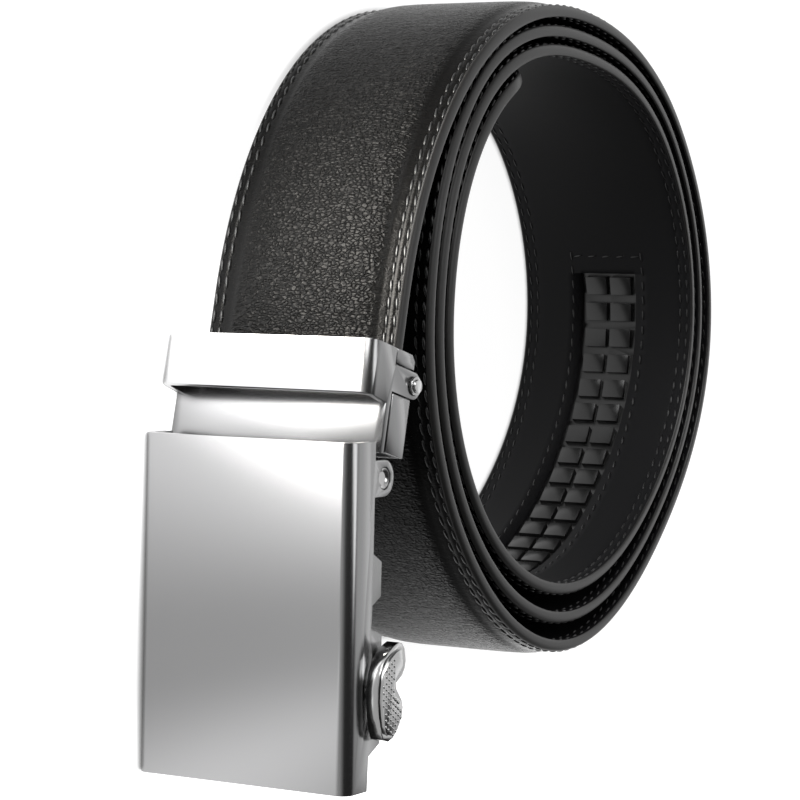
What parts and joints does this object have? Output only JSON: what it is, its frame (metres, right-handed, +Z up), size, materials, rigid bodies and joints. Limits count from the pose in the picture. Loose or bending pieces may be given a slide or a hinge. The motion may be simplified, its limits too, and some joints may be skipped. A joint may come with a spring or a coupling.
{
  "type": "ratchet belt",
  "caption": "Coiled dress belt: padded, edge-stitched strap with a toothed track inside and a hinged metal ratchet buckle with a strap clamp and a side release knob.",
  "frame": {"origin": "on the floor under the middle of the belt's box", "axes": "+Z up, out of the coil's open top and towards the release knob; the buckle lies along X at the front (-Y), its case towards +X; the coil opens along Z"},
  "size_m": [0.1296, 0.1414, 0.0409],
  "materials": {
    "black_leather": "pebbled grain, satin",
    "lining_leather": "smooth, matte",
    "track_plastic": "moulded, soft sheen",
    "satin_metal": "fine satin",
    "polished_metal": "polished"
  },
  "bodies": {
    "belt": {"leather_strap": "black_leather", "lining_strap": "lining_leather", "ratchet_track": "track_plastic", "clamp_frame": "satin_metal", "jaw_pin": "polished_metal", "case_pin": "polished_metal"},
    "jaw": {"clamp_jaw": "satin_metal"},
    "case": {"buckle_case": "satin_metal"},
    "release": {"release_knob": "polished_metal", "ratchet_pawl": "satin_metal"}
  },
  "joints": [
    {"name": "jaw_hinge", "type": "hinge", "parent": "belt", "child": "jaw", "pos_m": [0.00287, -0.0533, 0.019], "axis": [0, 0, 1], "range_deg": [0, 75]},
    {"name": "case_hinge", "type": "hinge", "parent": "belt", "child": "case", "pos_m": [0.01703, -0.06108, 0.019], "axis": [0, 0, 1], "range_deg": [-12.5, 60]},
    {"name": "release_pivot", "type": "hinge", "parent": "case", "child": "release", "pos_m": [0.04961, -0.06106, 0.019], "axis": [0, 0, 1], "range_deg": [-20, 0], "stiffness_Nm_per_rad": 0.02, "springref_deg": 5.73}
  ]
}
